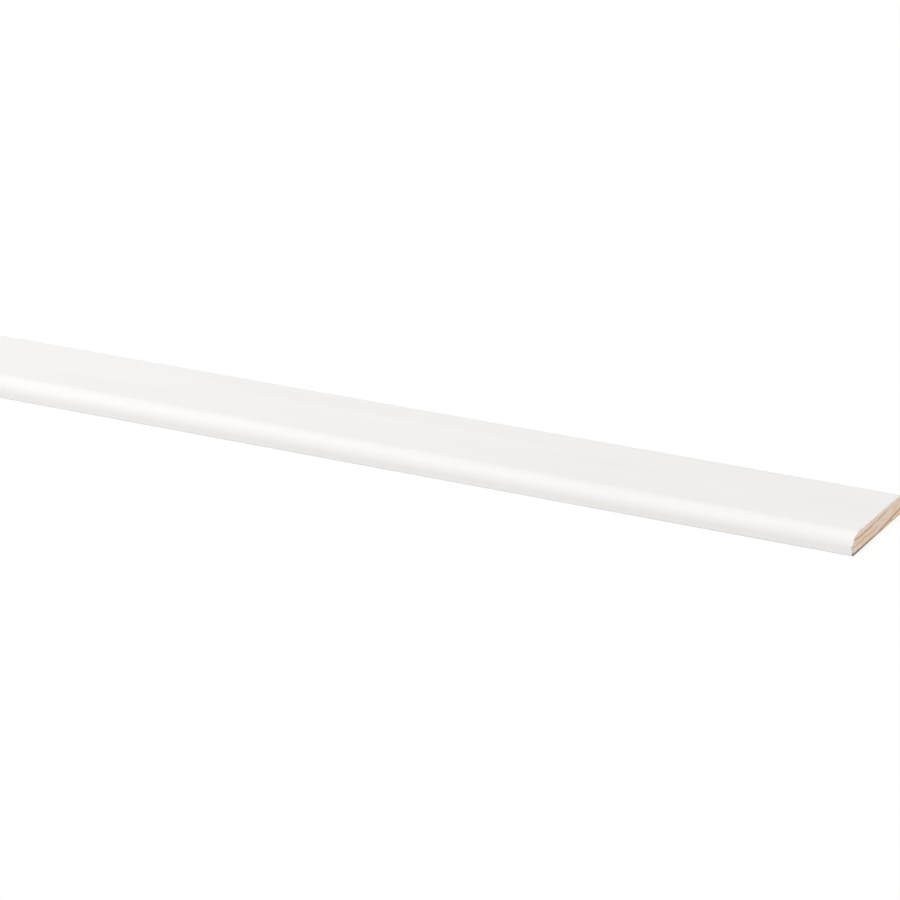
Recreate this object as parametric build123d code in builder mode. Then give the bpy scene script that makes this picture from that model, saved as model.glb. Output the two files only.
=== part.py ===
from build123d import *
import os

# White-coated pine cover strip: a flat strip of moulding that is fixed over a joint to hide it.
# It is one planed piece of stock. The back is flat, the two long edges are short and square, and
# a round-over leads each of them into the flat show face. Both ends are sawn square.
#
# Frame: X runs along the strip, Y across it and Z out of the show face. The origin is the middle
# of the back, on the surface that the strip lies on. Millimetres.

# Driving dimensions
length = 2400.0  # stock length, sawn square at both ends
width = 30.0  # across the strip, edge to edge
thickness = 5.0  # from the back to the show face
edge_radius = 3.5  # round-over from each long edge into the show face
back_radius = 0.25  # small radius that takes the sharpness off the two back corners

# The round-over is limited by the wall that it is cut in, less the radius below it.
round_over = min(edge_radius, thickness - 2 * back_radius)

with BuildPart() as cover_strip:
    # The section stands on its back, square to the length, at the left sawn end.
    with BuildSketch(Plane.YZ.offset(-length / 2)) as section:
        Rectangle(width, thickness, align=(Align.CENTER, Align.MIN))
        show_corners = section.vertices().group_by(Axis.Y)[-1]
        fillet(show_corners, radius=round_over)
        back_corners = section.vertices().group_by(Axis.Y)[0]
        fillet(back_corners, radius=back_radius)
    extrude(amount=length)

cover_strip.part.label = "cover_strip"

os.makedirs("parts", exist_ok=True)
export_step(cover_strip.part, "parts/cover_strip.step")
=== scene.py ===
import math

import bpy
import numpy as np
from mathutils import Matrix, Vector, noise


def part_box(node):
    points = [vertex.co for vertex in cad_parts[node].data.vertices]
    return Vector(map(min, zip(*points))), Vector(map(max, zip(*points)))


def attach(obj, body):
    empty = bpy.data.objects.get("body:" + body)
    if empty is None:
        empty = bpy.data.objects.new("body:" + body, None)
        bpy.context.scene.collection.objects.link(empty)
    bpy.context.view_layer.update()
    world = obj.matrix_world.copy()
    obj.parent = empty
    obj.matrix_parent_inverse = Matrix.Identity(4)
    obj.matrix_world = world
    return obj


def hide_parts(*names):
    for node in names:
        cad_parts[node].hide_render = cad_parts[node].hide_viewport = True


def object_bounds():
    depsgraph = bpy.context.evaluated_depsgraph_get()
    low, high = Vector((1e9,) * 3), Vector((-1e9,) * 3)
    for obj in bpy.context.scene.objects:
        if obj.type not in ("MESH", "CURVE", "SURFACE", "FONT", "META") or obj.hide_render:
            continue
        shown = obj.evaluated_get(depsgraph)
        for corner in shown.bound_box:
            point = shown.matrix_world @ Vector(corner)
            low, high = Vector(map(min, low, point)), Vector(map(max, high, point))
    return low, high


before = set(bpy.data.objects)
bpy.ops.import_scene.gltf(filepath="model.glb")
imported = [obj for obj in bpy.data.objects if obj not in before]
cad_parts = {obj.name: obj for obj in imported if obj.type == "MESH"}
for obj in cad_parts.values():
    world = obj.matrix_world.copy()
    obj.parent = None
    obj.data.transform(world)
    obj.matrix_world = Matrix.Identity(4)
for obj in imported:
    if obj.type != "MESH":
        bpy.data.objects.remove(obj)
cad_low, cad_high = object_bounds()

bl_info = {
    "name": "White-coated pine cover strip",
    "version": (1, 0, 0),
    "blender": (4, 5, 0),
    "location": "3D View > Sidebar > Cover strip",
    "description": "Dresses the packed cover strip as coated pine with sawn ends, on a white table",
    "category": "Object",
}

MM = 0.001  # one millimetre in Blender's metres
NODE = "cover_strip"
BODY = "root"
PHOTO_SIDE = 900  # pixels along each side of the square picture
SENSOR = 36.0  # camera sensor's width, in the millimetres that a lens is given in


def measured_section():
    """Length, width, thickness, round-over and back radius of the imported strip, from its corners."""
    low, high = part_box(NODE)
    level = 0.0005 * MM  # points within this height lie on the same flat
    points = [v.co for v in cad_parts[NODE].data.vertices]
    show_half = max(p.y for p in points if p.z > high.z - level)
    back_half = max(p.y for p in points if p.z < low.z + level)
    return high.x - low.x, high.y - low.y, high.z - low.z, high.y - show_half, high.y - back_half


CAD_LENGTH, CAD_WIDTH, CAD_THICKNESS, CAD_ROUND, CAD_BACK_RADIUS = measured_section()


def linear(hex_colour):
    """An sRGB hex colour as the linear red, green and blue that Blender's sockets take."""
    parts = [int(hex_colour[i : i + 2], 16) / 255 for i in (1, 3, 5)]
    return [p / 12.92 if p <= 0.04045 else ((p + 0.055) / 1.055) ** 2.4 for p in parts]


class StripSettings(bpy.types.PropertyGroup):
    """Sizes and colours of the strip."""

    length: bpy.props.FloatProperty(
        name="Length",
        description="Stock length between the two sawn ends",
        unit="LENGTH",
        default=CAD_LENGTH,
    )
    width: bpy.props.FloatProperty(
        name="Width",
        description="Across the strip, from edge to edge",
        unit="LENGTH",
        default=CAD_WIDTH,
    )
    thickness: bpy.props.FloatProperty(
        name="Thickness",
        description="From the back to the show face",
        unit="LENGTH",
        default=CAD_THICKNESS,
    )
    round_over: bpy.props.FloatProperty(
        name="Round-over",
        description="Radius between each long edge and the show face",
        unit="LENGTH",
        default=CAD_ROUND,
    )
    back_radius: bpy.props.FloatProperty(
        name="Back radius",
        description="Small radius on the two corners of the back",
        unit="LENGTH",
        default=CAD_BACK_RADIUS,
    )
    coat_thickness: bpy.props.FloatProperty(
        name="Coat thickness",
        description="Thickness of the white film, which shows as a line round the sawn ends",
        unit="LENGTH",
        default=0.14 * MM,
    )
    ring_width: bpy.props.FloatProperty(
        name="Growth ring",
        description="Width of one year's growth",
        unit="LENGTH",
        default=1.47 * MM,
    )
    pith_height: bpy.props.FloatProperty(
        name="Pith height",
        description="How far above the back the middle of the tree was",
        unit="LENGTH",
        default=230 * MM,
    )
    ring_height: bpy.props.FloatProperty(
        name="Ring height",
        description="Height at which a year ends in the middle of the right end",
        unit="LENGTH",
        default=3.55 * MM,
    )
    grain_relief: bpy.props.FloatProperty(
        name="Grain relief",
        description="How far early wood lies below late wood under the coat",
        unit="LENGTH",
        default=0.012 * MM,
    )
    saw_relief: bpy.props.FloatProperty(
        name="Saw relief",
        description="How far early wood lies below late wood on the sawn ends",
        unit="LENGTH",
        default=0.04 * MM,
    )
    edge_chips: bpy.props.FloatProperty(
        name="Edge chips",
        description="Usual depth of the chips that the saw broke from the coated edge of an end",
        unit="LENGTH",
        default=0.36 * MM,
    )
    tear_out: bpy.props.FloatProperty(
        name="Tear-out",
        description="Greatest depth of the fibres that the saw tore from the lower edge of an end",
        unit="LENGTH",
        default=0.22 * MM,
    )
    coat_colour: bpy.props.FloatVectorProperty(
        name="Coat",
        description="White of the coat",
        subtype="COLOR",
        default=linear("#F5F3F1"),
    )
    # Besides the thinner film, this greyer white carries the drift's painted shade towards the right end.
    coat_shade: bpy.props.FloatVectorProperty(
        name="Coat streaks",
        description="White where the coat lies thinner along the grain",
        subtype="COLOR",
        default=linear("#ECE9E7"),
    )
    early_wood: bpy.props.FloatVectorProperty(
        name="Early wood",
        description="Pale, soft part of each growth ring",
        subtype="COLOR",
        default=linear("#F1DECB"),
    )
    late_wood: bpy.props.FloatVectorProperty(
        name="Late wood",
        description="Dark, hard part of each growth ring",
        subtype="COLOR",
        default=linear("#A87A55"),
    )
    flushed_wood: bpy.props.FloatVectorProperty(
        name="Flushed wood",
        description="Pinker streaks within a ring",
        subtype="COLOR",
        default=linear("#ECCAB9"),
    )
    resin_wood: bpy.props.FloatVectorProperty(
        name="Resin wood",
        description="Yellower streaks, where the wood holds more resin",
        subtype="COLOR",
        default=linear("#EED2A9"),
    )
    # Painted shade: this grey stands for the contact shadow along the lower and near edges of an end,
    # where the torn fibres meet the table.
    torn_edge_shade: bpy.props.FloatVectorProperty(
        name="Torn wood",
        description="Dusty torn fibres along the lower and near edges of an end",
        subtype="COLOR",
        default=linear("#7D7773"),
    )


class StageSettings(bpy.types.PropertyGroup):
    """Camera, table and light."""

    azimuth: bpy.props.FloatProperty(
        name="Azimuth",
        description="How far round the camera stands, from looking straight across the strip",
        subtype="ANGLE",
        default=math.radians(27.4),
    )
    elevation: bpy.props.FloatProperty(
        name="Elevation",
        description="How far above the table the camera looks down from",
        subtype="ANGLE",
        default=math.radians(20.55),
    )
    distance: bpy.props.FloatProperty(
        name="Distance",
        description="Depth from the camera to the near lower corner of the right end",
        unit="LENGTH",
        default=777 * MM,
    )
    lens: bpy.props.FloatProperty(
        name="Lens",
        description="Focal length",
        unit="CAMERA",
        default=144.0,
    )
    corner_in_picture: bpy.props.FloatVectorProperty(
        name="Corner in the picture",
        description="Pixel, from the top left, where that corner shows",
        size=2,
        default=(853.8, 557.0),
    )
    table_white: bpy.props.FloatVectorProperty(
        name="Table",
        description="White that the camera sees on the table",
        subtype="COLOR",
        default=linear("#FFFFFF"),
    )
    table_bounce: bpy.props.FloatVectorProperty(
        name="Table bounce",
        description="White that the table throws back at the strip",
        subtype="COLOR",
        default=linear("#E0E0E0"),
    )
    table_glow: bpy.props.FloatProperty(
        name="Table glow",
        description="Share of the table's white that doesn't take a shadow",
        subtype="FACTOR",
        min=0.0,
        max=1.0,
        default=0.7,
    )
    room_light: bpy.props.FloatProperty(
        name="Room light",
        description="Even light from all sides, where 1 lights a surface as bright as it is written",
        min=0.0,
        default=0.56,
    )
    key_light: bpy.props.FloatProperty(
        name="Key light",
        description="Soft light from the front, on the same scale",
        min=0.0,
        default=0.45,
    )
    fill_light: bpy.props.FloatProperty(
        name="Fill light",
        description="Soft light from the right, on the same scale",
        min=0.0,
        default=0.1,
    )


# The mesh

ROUND_STEPS = 18  # steps round each round-over
CORNER_STEPS = 3  # steps round each corner of the back
FLAT_STEPS = 58  # steps across the flat show face
HEIGHT_STEPS = 24  # steps from the back to the show face on a sawn end
ROW_CROWDING = 0.6  # how much those steps crowd towards the back and the show face, from 0 to 1
STATION = 8 * MM  # distance between two cross-sections along the strip
END_STATIONS = [0.12, 0.28, 0.5, 0.8, 1.3, 2.2, 4.0]  # closer ones at each end, in millimetres
SHARP_TURN = math.radians(40)  # an edge that turns by more than this is drawn sharp

PITH_ASIDE = 8 * MM  # the pith wanders this far aside along the strip
PITH_BOW = 1.3 * MM  # and this far up and down, in a long wave
PITH_WAVE = 0.12 * MM  # with a shorter wave of this height on it
RING_SWELL = 0.05 * MM  # a ring swells by this much across the strip
RING_RIPPLE = 0.03 * MM  # with finer ripples of this height
LATE_START = 0.62  # part of a year at which its late wood starts
LATE_FULL = 0.9  # part at which that is full
LATE_END = 0.95  # part from which it falls off, to nothing when the year ends

CHIP_REACH = 3 * MM  # the chips of an end fade out along the strip over this length
CHIP_WIDTH = 0.4 * MM  # and over this width in from the coated edge
CHIP_LENGTH = 0.9 * MM  # usual length of a chip along that edge
# The torn fibres' share sets their depth, and also where the sawn ends take a grey painted shade that
# stands for the contact shadow.
TORN_REACH = 0.42 * MM  # torn fibres reach this far up from the lower edge at the far side
TORN_EXTRA = 0.4 * MM  # and this much further at the near side, where the saw left the wood
TORN_RAGGED = 0.3 * MM  # give or take this much from place to place
TORN_FADE = 0.4 * MM  # they thin out over this height
TORN_ASIDE = 0.9 * MM  # and beside the near edge they reach this far in
CHIP_SEED, TORN_SEED, FRAY_SEED = 78.5, 3.1, 8.4  # places in the random field, one for each pattern


def section_chains(strip):
    """The section's show outline and its back, as matching points (across, up) from near to far."""
    half, high, radius, small = strip.width / 2, strip.thickness, strip.round_over, strip.back_radius
    turn = np.linspace(0, math.pi / 2, ROUND_STEPS + 1)
    across = radius * (1 - np.cos(turn)) - half
    up = high - radius * (1 - np.sin(turn))
    flat = np.linspace(across[-1], -across[-1], FLAT_STEPS + 1)[1:-1]
    show_across = np.concatenate([across, flat, -across[::-1]])
    show_up = np.concatenate([up, np.full(len(flat), high), up[::-1]])
    show = np.stack([show_across, show_up], axis=1)
    # The back has the show outline's spacing, drawn to its own width, with a small corner at each side.
    back = show * [(half - small) / -across[CORNER_STEPS], 0]
    turn = np.linspace(0, math.pi / 2, CORNER_STEPS + 1)
    corner = np.stack([small * (1 - np.cos(turn)) - half, small * (1 - np.sin(turn))], axis=1)
    back[: CORNER_STEPS + 1] = corner
    back[-CORNER_STEPS - 1 :] = corner[::-1] * [-1, 1]
    return show, back


def section_grid(strip):
    """Points of the section, as [column across][row up] = (across, up)."""
    show, back = section_chains(strip)
    even = np.linspace(0, 1, HEIGHT_STEPS + 1)
    crowded = (1 - np.cos(math.pi * even)) / 2
    share = (even + ROW_CROWDING * (crowded - even))[None, :, None]
    return back[:, None, :] * (1 - share) + show[:, None, :] * share


def outline_cells(columns, rows):
    """The grid's border cells, anticlockwise seen from the right, from the near corner of the back."""
    back = [(c, 0) for c in range(columns)]
    far = [(columns - 1, r) for r in range(1, rows)]
    show = [(c, rows - 1) for c in range(columns - 2, -1, -1)]
    near = [(0, r) for r in range(rows - 2, 0, -1)]
    return back + far + show + near


def stations(strip):
    """Places along the strip where a cross-section stands."""
    half = strip.length / 2
    even = np.linspace(-half, half, round(strip.length / STATION) + 1)
    close = np.array(END_STATIONS) * MM
    return np.sort(np.concatenate([even, close - half, half - close]))


def growth_ring(strip, x, y, z):
    """Growth ring at a point, counted from the pith. Its fraction is the season, and a year ends at 1."""
    # The strip's length is one full turn, so the factors of it are waves along the strip.
    along = 2 * math.pi * (np.asarray(x) / strip.length - 0.5)
    pith_y = -PITH_ASIDE * np.cos(1.1 * along)
    pith_z = strip.pith_height + PITH_BOW * np.sin(1.4 * along) + PITH_WAVE * np.sin(4.6 * along)
    swell = RING_SWELL * np.sin(y / (1.9 * MM) + 5.3 * along)
    ripple = RING_RIPPLE * np.sin(y / (0.7 * MM) + 1.7)
    return (np.hypot(y - pith_y, z - pith_z) + swell + ripple) / strip.ring_width


def counted_ring(strip, x, y, z):
    """Growth ring at a point, counted from the year that ends at the ring height of the right end."""
    return growth_ring(strip, x, y, z) - growth_ring(strip, strip.length / 2, 0.0, strip.ring_height)


def late_wood_share(ring):
    """0 in early wood, rising to 1 towards the end of each year, where it falls off at once."""
    season = ring - np.floor(ring)
    rise = np.clip((season - LATE_START) / (LATE_FULL - LATE_START), 0, 1)
    fall = np.clip((1 - season) / (1 - LATE_END), 0, 1)
    return rise * rise * (3 - 2 * rise) * fall


def coat_depth(strip, y, z):
    """Distance from a point of the section to the coated outline."""
    past = np.abs(y) - (strip.width / 2 - strip.round_over)
    above = z - (strip.thickness - strip.round_over)
    corner = strip.round_over - np.hypot(np.maximum(past, 0), np.maximum(above, 0))
    flat = np.minimum(strip.width / 2 - np.abs(y), strip.thickness - z)
    return np.maximum(np.where((past > 0) & (above > 0), corner, flat), 0)


def wander(across, up, size, seed):
    """Smooth random values between about -1 and 1, whose swells are that size, at points of an end."""
    flat = [noise.noise(Vector((y / size, z / size, seed))) for y, z in zip(across.flat, up.flat)]
    return np.array(flat).reshape(across.shape)


def exit_share(strip, y):
    """0 at the far edge and 1 at the near one, where the saw left the wood."""
    return np.clip(0.5 - y / strip.width, 0, 1)


def torn_and_shade_share(strip, side, grid):
    """How torn each point of an end is, and so how much painted shade it takes, from 0 to 1: most at the
    lower edge, less beside the near one.
    """
    y, z = grid[..., 0], grid[..., 1]
    leaving = exit_share(strip, y)
    lower = np.zeros_like(z)
    ragged = wander(y, lower, 2.2 * MM, TORN_SEED * side)
    ragged = ragged + 0.5 * wander(y, lower, 0.6 * MM, FRAY_SEED * side)
    reach = TORN_REACH + TORN_EXTRA * leaving**1.5 + TORN_RAGGED * ragged
    share = np.clip(0.3 + 0.7 * leaving + 0.3 * ragged, 0, 1)
    below = share * np.clip((reach - z) / TORN_FADE, 0, 1)
    beside = 0.35 * leaving**8 * np.clip(1 - coat_depth(strip, y, z) / TORN_ASIDE, 0, 1)
    return np.maximum(below, beside)


def sawn_offset(strip, side, grid):
    """How far each point of an end lies inside the plane of the saw cut."""
    y, z = grid[..., 0], grid[..., 1]
    early = 1 - late_wood_share(counted_ring(strip, side * strip.length / 2, y, z))
    inner = np.clip(coat_depth(strip, y, z) / CHIP_WIDTH, 0, 1)
    # Chips are deepest at the near edge, where the saw left the wood.
    uneven = 1.1 * wander(y, z, CHIP_LENGTH, CHIP_SEED * side)
    chips = np.maximum(0.2 + uneven + 1.2 * exit_share(strip, y) ** 4, 0) * (1 - inner)
    torn = np.sqrt(torn_and_shade_share(strip, side, grid))
    return strip.saw_relief * early * inner + strip.edge_chips * chips + strip.tear_out * torn


def strip_points(strip, grid, cells, offsets):
    """Vertices: each cross-section's outline in turn, then the inside of the left and right ends."""
    outline = np.array([grid[cell] for cell in cells])
    along = np.roll(outline, -1, axis=0) - np.roll(outline, 1, axis=0)
    inward = np.stack([-along[:, 1], along[:, 0]], axis=1) / np.linalg.norm(along, axis=1)[:, None]
    places = stations(strip)
    x, y = np.meshgrid(places, outline[:, 0], indexing="ij")
    z = np.broadcast_to(outline[:, 1], x.shape)
    sunk = strip.grain_relief * (1 - late_wood_share(counted_ring(strip, x, y, z)))
    body = np.stack([x, y + sunk * inward[:, 0], z + sunk * inward[:, 1]], axis=2)
    for side, offset in offsets.items():
        edge = np.array([offset[cell] for cell in cells])
        from_end = strip.length / 2 - side * places
        fade = np.clip(1 - from_end / CHIP_REACH, 0, 1) ** 2
        body[..., 0] -= side * fade[:, None] * edge
    parts = [body.reshape(-1, 3)]
    # The grain relief draws the outline in, so the inside of an end is drawn in by twice as much.
    inside = grid[1:-1, 1:-1] * [1 - 2 * strip.grain_relief / (strip.width / 2), 1]
    for side, offset in offsets.items():
        plane = side * (strip.length / 2 - offset[1:-1, 1:-1, None])
        parts.append(np.concatenate([plane, inside], axis=2).reshape(-1, 3))
    return np.concatenate(parts)


def end_vertices(side, cells, station_count, shape):
    """Vertex number of each cell of an end's grid."""
    columns, rows = shape
    inside = (columns - 2) * (rows - 2)
    table = np.zeros(shape, int)
    first = 0 if side < 0 else (station_count - 1) * len(cells)
    for place, cell in enumerate(cells):
        table[cell] = first + place
    start = station_count * len(cells) + (0 if side < 0 else inside)
    table[1:-1, 1:-1] = start + np.arange(inside).reshape(columns - 2, rows - 2)
    return table


def grid_faces(table):
    """Four-sided faces of a table of vertices."""
    corners = [table[:-1, :-1], table[1:, :-1], table[1:, 1:], table[:-1, 1:]]
    return np.stack(corners, axis=2).reshape(-1, 4)


def strip_faces(cells, station_count, shape):
    """Faces of the long surfaces, the left end and the right end, as three arrays."""
    table = np.arange(station_count * len(cells)).reshape(station_count, len(cells))
    closed = np.concatenate([table, table[:, :1]], axis=1)
    # The long surfaces and the left end are wound the other way round, so that all faces look outwards.
    long_faces = grid_faces(closed)[:, [0, 3, 2, 1]]
    left = grid_faces(end_vertices(-1, cells, station_count, shape))[:, ::-1]
    right = grid_faces(end_vertices(1, cells, station_count, shape))
    return long_faces, left, right


MAP_ROWS = 4  # rows that the long surfaces are folded into on the bake's map
MAP_ENDS = 0.125  # height of each end on that map, which is far larger for its size than a row
MAP_GAP = 0.003  # bare rim round each of them


def bake_places(strip, points, faces, outline):
    """Place of each face's corners on the bake's map: the ends below, the long surfaces above."""
    long_faces, left, right = faces
    steps = np.linalg.norm(np.roll(outline, -1, axis=0) - outline, axis=1)
    walked = np.concatenate([[0], np.cumsum(steps)]) / steps.sum()
    along = (points[long_faces, 0] / strip.length + 0.5) * MAP_ROWS
    row = np.clip(np.floor(along.mean(axis=1, keepdims=True)), 0, MAP_ROWS - 1)
    start = np.arange(len(long_faces)) % len(outline)
    round_it = np.stack([walked[start], walked[start + 1], walked[start + 1], walked[start]], axis=1)
    height = (1 - 2 * MAP_ENDS) / MAP_ROWS
    low = 2 * MAP_ENDS + row * height
    placed = [(np.clip(along - row, 0, 1), low + MAP_GAP + round_it * (height - 2 * MAP_GAP))]
    for low, end in ((0, left), (MAP_ENDS, right)):
        across = points[end, 1] / strip.width + 0.5
        up = points[end, 2] / strip.thickness
        placed.append((across, low + MAP_GAP + up * (MAP_ENDS - 2 * MAP_GAP)))
    corners = np.concatenate([np.stack(pair, axis=2) for pair in placed])
    corners[..., 0] = MAP_GAP + corners[..., 0] * (1 - 2 * MAP_GAP)
    return corners.reshape(-1, 2)


def point_values(mesh, name, values):
    """Keeps one number for each vertex, for the finishes to read."""
    layer = mesh.attributes.new(name, "FLOAT", "POINT")
    layer.data.foreach_set("value", values.astype(np.float32))


def strip_mesh(strip):
    """The strip as one closed mesh, with its finishes, growth rings and the map it is baked through."""
    grid = section_grid(strip)
    shape = grid.shape[:2]
    cells = outline_cells(*shape)
    offsets = {side: sawn_offset(strip, side, grid) for side in (-1, 1)}
    points = strip_points(strip, grid, cells, offsets)
    station_count = len(stations(strip))
    faces = strip_faces(cells, station_count, shape)
    mesh = bpy.data.meshes.new("coated_pine_strip")
    mesh.from_pydata(points.tolist(), [], np.concatenate(faces).tolist())
    mesh.polygons.foreach_set("use_smooth", np.ones(len(mesh.polygons), bool))
    mesh.set_sharp_from_angle(angle=SHARP_TURN)
    # The finishes are numbered: 0 is the coat, 1 the bare back and 2 the sawn ends.
    start = np.arange(len(faces[0])) % len(cells)
    on_back = (start >= CORNER_STEPS) & (start < shape[0] - 1 - CORNER_STEPS)
    on_ends = np.full(len(faces[1]) + len(faces[2]), 2)
    mesh.polygons.foreach_set("material_index", np.concatenate([on_back, on_ends]).astype(np.int32))
    # Torn share of the sawn ends, kept for the grey painted shade along their lower edge.
    torn = np.zeros(len(points))
    for side in offsets:
        torn[end_vertices(side, cells, station_count, shape)] = torn_and_shade_share(strip, side, grid)
    point_values(mesh, "growth_ring", counted_ring(strip, *points.T))
    point_values(mesh, "coat_depth", coat_depth(strip, points[:, 1], points[:, 2]))
    point_values(mesh, "torn", torn)
    outline = np.array([grid[cell] for cell in cells])
    places = bake_places(strip, points, faces, outline)
    mesh.uv_layers.new(name="OFBake").data.foreach_set("uv", places.astype(np.float32).ravel())
    if mesh.validate():
        raise RuntimeError("the strip's mesh has faces that don't hold together")
    return mesh


# The finishes


def add_node(tree, kind, sockets=None, **settings):
    """Adds a node, gives it its settings, and sets or links each socket, by its name or its number.

    A mix node's go by number, since some share a name: 0 is the share, 2 and 3 are what it mixes as
    numbers, and 6 and 7 as colours.
    """
    node = tree.nodes.new(kind)
    for name, value in settings.items():
        setattr(node, name, value)
    for name, value in (sockets or {}).items():
        if isinstance(value, bpy.types.NodeSocket):
            tree.links.new(value, node.inputs[name])
        else:
            node.inputs[name].default_value = value
    return node


def opaque(colour):
    """A colour with full alpha, as colour sockets take it."""
    return (*colour, 1.0)


def new_material(name):
    """An empty node material and its tree."""
    material = bpy.data.materials.new(name)
    material.use_nodes = True
    material.node_tree.nodes.clear()
    return material, material.node_tree


def grain_marks(tree, place, sizes, detail, levels=(0.0, 1.0), shift=0.0):
    """A random pattern with marks of these sizes, in millimetres along X, Y and Z.

    Its values between the two levels are drawn out to the range from 0 to 1. A shift takes the marks
    from another part of the random field.
    """
    scale = [1 / (size * MM) for size in sizes]
    spread = add_node(
        tree, "ShaderNodeMapping", {"Vector": place, "Location": (shift, 0, 0), "Scale": scale}
    )
    marks = {"Vector": spread.outputs[0], "Scale": 1.0, "Detail": detail}
    pattern = add_node(tree, "ShaderNodeTexNoise", marks).outputs["Fac"]
    drawn_out = {"Value": pattern, "From Min": levels[0], "From Max": levels[1]}
    return add_node(tree, "ShaderNodeMapRange", drawn_out).outputs[0]


def year_lines(tree, hardness):
    """Late wood from the mesh's growth rings: up to the hardness in the line that ends each year."""
    ring = add_node(tree, "ShaderNodeAttribute", attribute_name="growth_ring").outputs["Fac"]
    season = add_node(tree, "ShaderNodeMath", {0: ring}, operation="FRACT").outputs[0]
    rise = add_node(
        tree,
        "ShaderNodeMapRange",
        {"Value": season, "From Min": LATE_START, "From Max": LATE_FULL, "To Max": hardness},
        interpolation_type="SMOOTHSTEP",
    ).outputs[0]
    fall = add_node(
        tree, "ShaderNodeMapRange", {"Value": season, "From Min": 1.0, "From Max": LATE_END}
    ).outputs[0]
    return add_node(tree, "ShaderNodeMath", {0: rise, 1: fall}, operation="MULTIPLY").outputs[0]


def ragged_rim(tree, pattern, narrow, wide):
    """1 where the coat reaches in from the edge, over a width that a random pattern varies."""
    depth = add_node(tree, "ShaderNodeAttribute", attribute_name="coat_depth").outputs["Fac"]
    width = add_node(
        tree, "ShaderNodeMapRange", {"Value": pattern, "To Min": narrow, "To Max": wide}
    ).outputs[0]
    return add_node(tree, "ShaderNodeMath", {0: depth, 1: width}, operation="LESS_THAN").outputs[0]


def layered_colour(tree, base, *layers):
    """Colours laid over the base one after another, each by its own share."""
    colour = opaque(base)
    for share, layer in layers:
        mix = add_node(tree, "ShaderNodeMix", {0: share, 6: colour, 7: opaque(layer)}, data_type="RGBA")
        colour = mix.outputs[2]
    return colour


def surface(tree, colour, roughness, ior, height, relief):
    """Ends a material in one shader, with a fine relief of that depth drawn from the height pattern."""
    bump = add_node(tree, "ShaderNodeBump", {"Height": height, "Distance": relief, "Strength": 1.0})
    look = {"Base Color": colour, "Roughness": roughness, "IOR": ior, "Normal": bump.outputs[0]}
    shader = add_node(tree, "ShaderNodeBsdfPrincipled", look)
    add_node(tree, "ShaderNodeOutputMaterial", {"Surface": shader.outputs["BSDF"]})


def satin_white_coat(strip):
    """White acrylic sprayed on planed pine: an even satin film that shows the grain as faint streaks,
    darkened towards the right end by a slow painted shade.
    """
    material, tree = new_material("satin_white_coat")
    place = add_node(tree, "ShaderNodeTexCoord").outputs["Object"]
    streaks = grain_marks(tree, place, (130, 1.8, 1.8), detail=2.0)
    clouds = grain_marks(tree, place, (50, 9, 9), detail=1.0)
    # Painted shade: the drift's place in the random field is picked so that the coat darkens over the
    # last 0.2 m before the right end, standing for light that falls off there.
    drift = grain_marks(tree, place, (330, 90, 90), detail=0.0, shift=7.75)
    cloudy, drifting = 0.6, 0.65  # shares of the clouds in the streaks, and of the drift in both
    uneven = add_node(
        tree, "ShaderNodeMix", {0: cloudy, 2: streaks, 3: clouds}, data_type="FLOAT"
    ).outputs[0]
    tone = add_node(
        tree, "ShaderNodeMix", {0: drifting, 2: uneven, 3: drift}, data_type="FLOAT"
    ).outputs[0]
    # Besides the film's thickness, the greyer tones carry the drift's painted shade.
    thick_to, thin_from = 0.37, 0.67  # tones at which the film is thickest and thinnest
    thin_and_shade = add_node(
        tree, "ShaderNodeMapRange", {"Value": tone, "From Min": thick_to, "From Max": thin_from}
    ).outputs[0]
    colour = layered_colour(tree, strip.coat_colour, (thin_and_shade, strip.coat_shade))
    # The film's own texture is finer than a pixel, so its swells are drawn a few times wider.
    swells = grain_marks(tree, place, (14, 1.6, 1.6), detail=2.0)
    surface(tree, colour, roughness=0.55, ior=1.47, height=swells, relief=0.012 * MM)
    return material


def bare_planed_pine(strip):
    """Scots pine as the planer left it: pale, with darker lines along the grain and a dull sheen."""
    material, tree = new_material("bare_planed_pine")
    place = add_node(tree, "ShaderNodeTexCoord").outputs["Object"]
    fibres = grain_marks(tree, place, (45, 0.5, 0.5), detail=4.0, levels=(0.45, 0.8))
    resin = grain_marks(tree, place, (220, 4, 4), detail=2.0, levels=(0.45, 0.7))
    hardness = grain_marks(tree, place, (300, 14, 14), detail=1.0, levels=(0.2, 0.6))
    # The spray reached round the corners of the back, to an uneven line.
    spray = grain_marks(tree, place, (7, 1.5, 1.5), detail=3.0, levels=(0.3, 0.7))
    colour = layered_colour(
        tree,
        strip.early_wood,
        (resin, strip.resin_wood),
        (year_lines(tree, hardness), strip.late_wood),
        (fibres, strip.flushed_wood),
        (ragged_rim(tree, spray, narrow=0.1 * MM, wide=1.2 * MM), strip.coat_colour),
    )
    surface(tree, colour, roughness=0.6, ior=1.53, height=fibres, relief=0.03 * MM)
    return material


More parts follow.
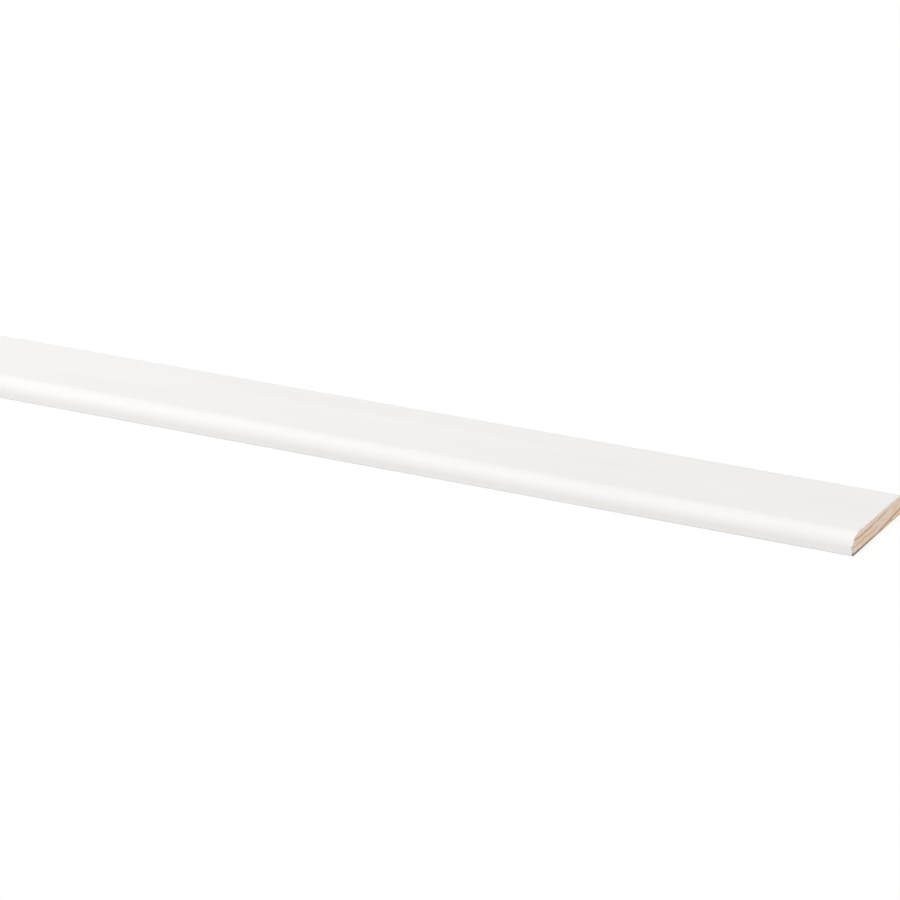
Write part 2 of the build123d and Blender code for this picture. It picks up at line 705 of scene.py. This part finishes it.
def bare_sawn_pine(strip):
    """Pine end grain as the saw left it: matt, fuzzy, with dark year lines, a rim of broken coat and a
    painted shade along the lower edge.
    """
    material, tree = new_material("bare_sawn_pine")
    place = add_node(tree, "ShaderNodeTexCoord").outputs["Object"]
    # Streaks within a year follow the ring, so they are drawn over its width instead of the height.
    ring = add_node(tree, "ShaderNodeAttribute", attribute_name="growth_ring").outputs["Fac"]
    grown = add_node(
        tree, "ShaderNodeMath", {0: ring, 1: strip.ring_width}, operation="MULTIPLY"
    ).outputs[0]
    across = add_node(tree, "ShaderNodeSeparateXYZ", {0: place}).outputs
    along_ring = add_node(
        tree, "ShaderNodeCombineXYZ", {"X": across["X"], "Y": across["Y"], "Z": grown}
    ).outputs[0]
    flush = grain_marks(tree, along_ring, (4, 3, 0.6), detail=3.0, levels=(0.45, 0.65), shift=54.25)
    resin = grain_marks(tree, along_ring, (4, 4, 1.2), detail=2.0, levels=(0.48, 0.68), shift=39.75)
    hardness = grain_marks(tree, along_ring, (14, 14, 1.5), detail=1.0, levels=(0.35, 0.65), shift=48.0)
    torn = add_node(tree, "ShaderNodeAttribute", attribute_name="torn").outputs["Fac"]
    fuzz = grain_marks(tree, place, (0.5, 0.5, 0.5), detail=3.0, levels=(0.3, 0.7))
    # The saw broke the coat off where it left the wood, so more of it stands towards the far edge.
    half, film = strip.width / 2, strip.coat_thickness
    standing = {"From Min": -half, "From Max": half, "To Min": film, "To Max": 6 * film}
    wide = add_node(tree, "ShaderNodeMapRange", {"Value": across["Y"], **standing}).outputs[0]
    colour = layered_colour(
        tree,
        strip.early_wood,
        (resin, strip.resin_wood),
        (flush, strip.flushed_wood),
        (year_lines(tree, hardness), strip.late_wood),
        # Grey painted shade over the torn fibres, standing for the contact shadow at the lower edge.
        (torn, strip.torn_edge_shade),
        (ragged_rim(tree, fuzz, narrow=0.3 * film, wide=wide), strip.coat_colour),
    )
    # The blade's teeth left upright marks, drawn about twice as wide as the real ones so that they show.
    marks = grain_marks(tree, place, (0.6, 0.35, 9), detail=1.0, levels=(0.3, 0.7))
    sawn = add_node(tree, "ShaderNodeMix", {0: 0.5, 2: fuzz, 3: marks}, data_type="FLOAT").outputs[0]
    surface(tree, colour, roughness=0.8, ior=1.53, height=sawn, relief=0.1 * MM)
    return material


class CoverStripAdd(bpy.types.Operator):
    """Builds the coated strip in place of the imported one"""

    bl_idname = "object.cover_strip_add"
    bl_label = "Cover strip"

    def execute(self, context):
        strip = context.scene.cover_strip
        piece = bpy.data.objects.new("coated_pine_strip", strip_mesh(strip))
        context.scene.collection.objects.link(piece)
        for finish in (satin_white_coat, bare_planed_pine, bare_sawn_pine):
            piece.data.materials.append(finish(strip))
        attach(piece, BODY)
        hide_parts(NODE)
        return {"FINISHED"}


# The stage

TABLE_HALF = 40.0  # metres from the middle of the table to its edges, far outside the picture
TABLE_GAP = 0.01 * MM  # the table lies this far below the strip's back, so that they share no plane
LENS_CLIP = 10 * MM  # nothing nearer to the camera than this is drawn


def seen_by_eye(tree):
    """1 for the rays of the camera, of mirrors and of glass, and 0 for those that light a surface."""
    path = add_node(tree, "ShaderNodeLightPath").outputs
    glossy, through = path["Is Glossy Ray"], path["Is Transmission Ray"]
    mirror = add_node(tree, "ShaderNodeMath", {0: glossy, 1: through}, operation="MAXIMUM").outputs[0]
    camera = path["Is Camera Ray"]
    return add_node(tree, "ShaderNodeMath", {0: camera, 1: mirror}, operation="MAXIMUM").outputs[0]


def matt_white_table(stage):
    """Matt white laminate, lit to white: the strip's shadow on it stays pale."""
    material, tree = new_material("matt_white_table")
    eye = seen_by_eye(tree)
    colour = add_node(
        tree,
        "ShaderNodeMix",
        {0: eye, 6: opaque(stage.table_bounce), 7: opaque(stage.table_white)},
        data_type="RGBA",
    )
    lit = add_node(tree, "ShaderNodeBsdfDiffuse", {"Color": colour.outputs[2]})
    white = add_node(tree, "ShaderNodeEmission", {"Color": opaque(stage.table_white), "Strength": 1.0})
    glow = add_node(tree, "ShaderNodeMapRange", {"Value": eye, "To Max": stage.table_glow}).outputs[0]
    shader = add_node(tree, "ShaderNodeMixShader", {0: glow, 1: lit.outputs[0], 2: white.outputs[0]})
    add_node(tree, "ShaderNodeOutputMaterial", {"Surface": shader.outputs[0]})
    return material


def add_table(scene, stage):
    """A wide white table top under the strip."""
    half = TABLE_HALF
    corners = [(-half, -half, 0), (half, -half, 0), (half, half, 0), (-half, half, 0)]
    mesh = bpy.data.meshes.new("table")
    mesh.from_pydata(corners, [], [(0, 1, 2, 3)])
    mesh.materials.append(matt_white_table(stage))
    table = bpy.data.objects.new("table", mesh)
    table.location.z = cad_low.z - TABLE_GAP
    scene.collection.objects.link(table)


def add_light(scene, stage):
    """Even light from the room, a soft key from the front and a weak fill from the right."""
    world = bpy.data.worlds.new("white_room")
    scene.world = world
    world.use_nodes = True
    tree = world.node_tree
    tree.nodes.clear()
    seen = seen_by_eye(tree)
    strength = add_node(
        tree, "ShaderNodeMapRange", {"Value": seen, "To Min": stage.room_light, "To Max": 1.0}
    ).outputs[0]
    white = add_node(
        tree, "ShaderNodeBackground", {"Color": opaque(linear("#FFFFFF")), "Strength": strength}
    )
    add_node(tree, "ShaderNodeOutputWorld", {"Surface": white.outputs["Background"]})
    # Each lamp has a brightness, the side that it stands on, and the degrees of sky that it fills.
    for name, share, towards, spread in (
        ("key_light", stage.key_light, (0.1, -0.5, 0.9), 50),
        ("fill_light", stage.fill_light, (0.8, -0.4, 0.45), 60),
    ):
        lamp = bpy.data.lights.new(name, "SUN")
        lamp.energy = share * math.pi
        lamp.angle = math.radians(spread)
        light = bpy.data.objects.new(name, lamp)
        light.rotation_mode = "QUATERNION"
        light.rotation_quaternion = Vector(towards).to_track_quat("Z", "Y")
        scene.collection.objects.link(light)


def add_camera(scene, stage):
    """A long lens on the right end, whose near lower corner shows where the picture has it."""
    a, e = stage.azimuth, stage.elevation
    back = Vector((math.sin(a) * math.cos(e), -math.cos(a) * math.cos(e), math.sin(e)))
    right = Vector((math.cos(a), math.sin(a), 0))
    up = back.cross(right)
    corner = Vector((cad_high.x, cad_low.y, cad_low.z))
    pixel = stage.distance * SENSOR / stage.lens / PHOTO_SIDE  # size of a pixel at the corner's depth
    middle = PHOTO_SIDE / 2
    aside = (stage.corner_in_picture[0] - middle) * pixel
    below = (stage.corner_in_picture[1] - middle) * pixel
    lens = bpy.data.cameras.new("camera")
    lens.sensor_width = SENSOR
    lens.lens = stage.lens
    lens.clip_start = LENS_CLIP
    camera = bpy.data.objects.new("camera", lens)
    camera.location = corner - aside * right + below * up + stage.distance * back
    camera.rotation_mode = "QUATERNION"
    camera.rotation_quaternion = back.to_track_quat("Z", "Y")
    scene.collection.objects.link(camera)
    scene.camera = camera


class CoverStripStage(bpy.types.Operator):
    """Sets the white table, the light and the camera"""

    bl_idname = "scene.cover_strip_stage"
    bl_label = "Table, light and camera"

    def execute(self, context):
        stage = context.scene.cover_strip_stage
        context.scene.view_settings.view_transform = "Standard"
        add_table(context.scene, stage)
        add_light(context.scene, stage)
        add_camera(context.scene, stage)
        return {"FINISHED"}


class CoverStripPanel(bpy.types.Panel):
    """Lists the strip and its stage in the sidebar"""

    bl_idname = "VIEW3D_PT_cover_strip"
    bl_label = "Cover strip"
    bl_space_type = "VIEW_3D"
    bl_region_type = "UI"
    bl_category = "Cover strip"

    def draw(self, context):
        for settings, operator in (
            (context.scene.cover_strip, CoverStripAdd),
            (context.scene.cover_strip_stage, CoverStripStage),
        ):
            box = self.layout.box()
            for name in settings.__annotations__:
                box.prop(settings, name)
            box.operator(operator.bl_idname)


CLASSES = (StripSettings, StageSettings, CoverStripAdd, CoverStripStage, CoverStripPanel)


def register():
    for cls in CLASSES:
        bpy.utils.register_class(cls)
    bpy.types.Scene.cover_strip = bpy.props.PointerProperty(type=StripSettings)
    bpy.types.Scene.cover_strip_stage = bpy.props.PointerProperty(type=StageSettings)


def unregister():
    del bpy.types.Scene.cover_strip_stage
    del bpy.types.Scene.cover_strip
    for cls in reversed(CLASSES):
        bpy.utils.unregister_class(cls)


def main():
    register()
    bpy.ops.object.cover_strip_add()
    bpy.ops.scene.cover_strip_stage()


if __name__ == "__main__":
    main()
